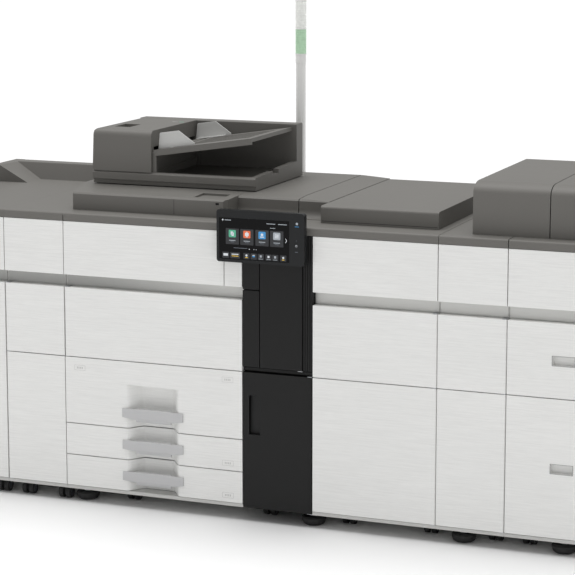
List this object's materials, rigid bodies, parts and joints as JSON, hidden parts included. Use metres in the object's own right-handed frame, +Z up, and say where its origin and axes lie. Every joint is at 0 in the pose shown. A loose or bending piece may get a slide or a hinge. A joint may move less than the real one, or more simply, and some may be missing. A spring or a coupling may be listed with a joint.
{
  "type": "photocopier",
  "caption": "Floor-standing production photocopier in line: finisher, relay, print engine with document feeder and touch panel, toner column, paper feeders and a status light.",
  "frame": {"origin": "on the floor, under the middle of the whole machine's footprint", "axes": "+X to the right along the row of modules, +Y from the fronts to the back, +Z up"},
  "size_m": [2.886, 0.8945, 1.6834],
  "materials": {
    "white_panel": "satin",
    "deck_grey": "matte",
    "frame_grey": "satin",
    "band_grey": "satin",
    "handle_grey": "satin",
    "guide_grey": "satin",
    "column_black": "satin",
    "panel_black": "satin",
    "screen_glass": "gloss",
    "rubber_black": "matte",
    "steel": "satin",
    "platen": "gloss",
    "pole_white": "satin",
    "lens_green": "gloss",
    "lens_clear": "gloss",
    "toner_plastic": "satin",
    "drum_green": "gloss",
    "fuser_red": "matte"
  },
  "bodies": {
    "machine": {"finisher_casing": "frame_grey", "relay_casing": "frame_grey", "engine_casing": "frame_grey", "column_frame": "column_black", "feeder_1_casing": "frame_grey", "feeder_2_casing": "frame_grey", "feeder_3_casing": "frame_grey", "finisher_top_cover": "deck_grey", "engine_top_cover": "deck_grey", "feeder_top_covers": "deck_grey", "upper_front_panels": "white_panel", "grip_bands": "band_grey", "hinge_plates": "steel", "levelling_feet": "rubber_black", "caster_forks": "column_black", "scanner_housing": "deck_grey", "platen_glass": "platen", "panel_arm": "panel_black", "signal_pole": "pole_white", "signal_lens_green": "lens_green", "signal_lens_clear": "lens_clear", "toner_bottles": "toner_plastic", "power_inlet": "rubber_black"},
    "finisher_front_door": {"finisher_front_door": "white_panel"},
    "relay_upper_door": {"relay_upper_door": "white_panel"},
    "relay_lower_door": {"relay_lower_door": "white_panel"},
    "engine_front_door": {"engine_front_door": "white_panel"},
    "toner_door": {"toner_door": "column_black"},
    "column_lower_door": {"column_lower_door": "column_black"},
    "feeder_1_upper_door": {"feeder_1_upper_door": "white_panel"},
    "feeder_1_lower_door": {"feeder_1_lower_door": "white_panel"},
    "feeder_2_upper_door": {"feeder_2_upper_door": "white_panel"},
    "feeder_2_lower_door": {"feeder_2_lower_door": "white_panel"},
    "tray_1": {"tray_1": "white_panel", "tray_1_handle": "handle_grey"},
    "tray_2": {"tray_2": "white_panel", "tray_2_handle": "handle_grey"},
    "tray_3": {"tray_3": "white_panel", "tray_3_handle": "handle_grey"},
    "feeder_3_upper_drawer": {"feeder_3_upper_drawer": "white_panel"},
    "feeder_3_lower_drawer": {"feeder_3_lower_drawer": "white_panel"},
    "feeder_1_lid": {"feeder_1_lid": "deck_grey"},
    "bypass_lid": {"bypass_lid": "deck_grey"},
    "stacker_tray": {"stacker_tray": "deck_grey"},
    "scan_carriage": {"scan_carriage": "toner_plastic"},
    "document_feeder": {"adf_body": "deck_grey"},
    "adf_feed_cover": {"adf_feed_cover": "deck_grey"},
    "adf_feed_roller": {"adf_feed_roller": "rubber_black"},
    "document_tray": {"document_tray": "deck_grey"},
    "document_guide_front": {"document_guide_front": "guide_grey"},
    "document_guide_rear": {"document_guide_rear": "guide_grey"},
    "control_panel": {"control_panel": "panel_black", "touch_screen": "screen_glass"},
    "power_key": {"power_key": "panel_black"},
    "relay_caster_wheels": {"relay_caster_wheels": "rubber_black"},
    "front_caster_wheels": {"front_caster_wheels": "rubber_black"},
    "rear_caster_wheels": {"rear_caster_wheels": "rubber_black"},
    "photoconductor_drum": {"photoconductor_drum": "drum_green"},
    "fuser_upper_roller": {"fuser_upper_roller": "fuser_red"},
    "fuser_lower_roller": {"fuser_lower_roller": "fuser_red"}
  },
  "joints": [
    {"name": "finisher_front_door_hinge", "type": "hinge", "parent": "machine", "child": "finisher_front_door", "pos_m": [-1.1065, -0.41225, 0.4], "axis": [0, 0, -1], "range_deg": [0, 90]},
    {"name": "relay_upper_door_hinge", "type": "hinge", "parent": "machine", "child": "relay_upper_door", "pos_m": [-0.6865, -0.41225, 0.628], "axis": [0, 0, -1], "range_deg": [0, 90]},
    {"name": "relay_lower_door_hinge", "type": "hinge", "parent": "machine", "child": "relay_lower_door", "pos_m": [-0.6865, -0.41225, 0.283], "axis": [0, 0, -1], "range_deg": [0, 90]},
    {"name": "engine_front_door_hinge", "type": "hinge", "parent": "machine", "child": "engine_front_door", "pos_m": [-0.4605, -0.41225, 0.628], "axis": [0, 0, -1], "range_deg": [0, 90]},
    {"name": "toner_door_hinge", "type": "hinge", "parent": "machine", "child": "toner_door", "pos_m": [0.3905, -0.41225, 0.7], "axis": [0, 0, 1], "range_deg": [0, 90]},
    {"name": "column_lower_door_hinge", "type": "hinge", "parent": "machine", "child": "column_lower_door", "pos_m": [0.4235, -0.41225, 0.283], "axis": [0, 0, 1], "range_deg": [0, 90]},
    {"name": "feeder_1_upper_door_hinge", "type": "hinge", "parent": "machine", "child": "feeder_1_upper_door", "pos_m": [0.8455, -0.41225, 0.628], "axis": [0, 0, 1], "range_deg": [0, 90]},
    {"name": "feeder_1_lower_door_hinge", "type": "hinge", "parent": "machine", "child": "feeder_1_lower_door", "pos_m": [0.8455, -0.41225, 0.283], "axis": [0, 0, 1], "range_deg": [0, 90]},
    {"name": "feeder_2_upper_door_hinge", "type": "hinge", "parent": "machine", "child": "feeder_2_upper_door", "pos_m": [1.0725, -0.41225, 0.628], "axis": [0, 0, 1], "range_deg": [0, 90]},
    {"name": "feeder_2_lower_door_hinge", "type": "hinge", "parent": "machine", "child": "feeder_2_lower_door", "pos_m": [1.0725, -0.41225, 0.283], "axis": [0, 0, 1], "range_deg": [0, 90]},
    {"name": "tray_1_slide", "type": "slide", "parent": "machine", "child": "tray_1", "axis": [0, -1, 0], "range_m": [0, 0.45]},
    {"name": "tray_2_slide", "type": "slide", "parent": "machine", "child": "tray_2", "axis": [0, -1, 0], "range_m": [0, 0.45]},
    {"name": "tray_3_slide", "type": "slide", "parent": "machine", "child": "tray_3", "axis": [0, -1, 0], "range_m": [0, 0.45]},
    {"name": "feeder_3_upper_drawer_slide", "type": "slide", "parent": "machine", "child": "feeder_3_upper_drawer", "axis": [0, -1, 0], "range_m": [0, 0.45]},
    {"name": "feeder_3_lower_drawer_slide", "type": "slide", "parent": "machine", "child": "feeder_3_lower_drawer", "axis": [0, -1, 0], "range_m": [0, 0.45]},
    {"name": "feeder_1_lid_hinge", "type": "hinge", "parent": "machine", "child": "feeder_1_lid", "pos_m": [0.6205, 0.38075, 1.0115], "axis": [-1, 0, 0], "range_deg": [0, 60]},
    {"name": "bypass_lid_hinge", "type": "hinge", "parent": "machine", "child": "bypass_lid", "pos_m": [1.3185, 0.38075, 1.0115], "axis": [-1, 0, 0], "range_deg": [0, 45]},
    {"name": "stacker_lift", "type": "slide", "parent": "machine", "child": "stacker_tray", "axis": [0, 0, 1], "range_m": [-0.45, 0.08]},
    {"name": "scan_carriage_slide", "type": "slide", "parent": "machine", "child": "scan_carriage", "axis": [1, 0, 0], "range_m": [0, 0.42]},
    {"name": "document_feeder_hinge", "type": "hinge", "parent": "machine", "child": "document_feeder", "pos_m": [-0.1765, 0.29475, 1.082], "axis": [-1, 0, 0], "range_deg": [0, 40]},
    {"name": "feed_cover_hinge", "type": "hinge", "parent": "document_feeder", "child": "adf_feed_cover", "pos_m": [-0.472, 0.02775, 1.1215], "axis": [0, -1, 0], "range_deg": [0, 70]},
    {"name": "feed_roller_spin", "type": "hinge", "parent": "document_feeder", "child": "adf_feed_roller", "pos_m": [-0.33, 0.02775, 1.159], "axis": [0, 1, 0], "continuous": true},
    {"name": "document_tray_tilt", "type": "hinge", "parent": "document_feeder", "child": "document_tray", "pos_m": [-0.247, 0.02775, 1.179], "axis": [0, -1, 0], "range_deg": [0, 12]},
    {"name": "guide_front_slide", "type": "slide", "parent": "document_tray", "child": "document_guide_front", "axis": [0, 1, 0], "range_m": [0, 0.09]},
    {"name": "guide_rear_slide", "type": "slide", "parent": "document_tray", "child": "document_guide_rear", "axis": [0, -1, 0], "range_m": [0, 0.09]},
    {"name": "control_panel_tilt", "type": "hinge", "parent": "machine", "child": "control_panel", "pos_m": [0.2605, -0.41125, 1.018], "axis": [-1, 0, 0], "range_deg": [0, 35]},
    {"name": "power_key_press", "type": "slide", "parent": "control_panel", "child": "power_key", "axis": [0, 1, 0], "range_m": [0, 0.0012], "stiffness_N_per_m": 300},
    {"name": "relay_casters_spin", "type": "hinge", "parent": "machine", "child": "relay_caster_wheels", "pos_m": [-0.813, -0.37725, 0.02105], "axis": [1, 0, 0], "continuous": true},
    {"name": "front_casters_spin", "type": "hinge", "parent": "machine", "child": "front_caster_wheels", "pos_m": [0.387, -0.31225, 0.02105], "axis": [1, 0, 0], "continuous": true},
    {"name": "rear_casters_spin", "type": "hinge", "parent": "machine", "child": "rear_caster_wheels", "pos_m": [0.087, 0.28275, 0.02105], "axis": [1, 0, 0], "continuous": true},
    {"name": "drum_spin", "type": "hinge", "parent": "machine", "child": "photoconductor_drum", "pos_m": [-0.067, -0.11725, 0.634], "axis": [0, 1, 0], "continuous": true},
    {"name": "fuser_upper_spin", "type": "hinge", "parent": "machine", "child": "fuser_upper_roller", "pos_m": [-0.337, -0.11725, 0.672], "axis": [0, 1, 0], "continuous": true},
    {"name": "fuser_lower_spin", "type": "hinge", "parent": "machine", "child": "fuser_lower_roller", "pos_m": [-0.337, -0.11725, 0.6187], "axis": [0, 1, 0], "continuous": true}
  ],
  "couplings": [
    {"joint": "guide_rear_slide", "follows": "guide_front_slide", "ratio": 1},
    {"joint": "fuser_lower_spin", "follows": "fuser_upper_spin", "ratio": -1.12},
    {"joint": "front_casters_spin", "follows": "rear_casters_spin", "ratio": 1},
    {"joint": "relay_casters_spin", "follows": "rear_casters_spin", "ratio": 1}
  ]
}
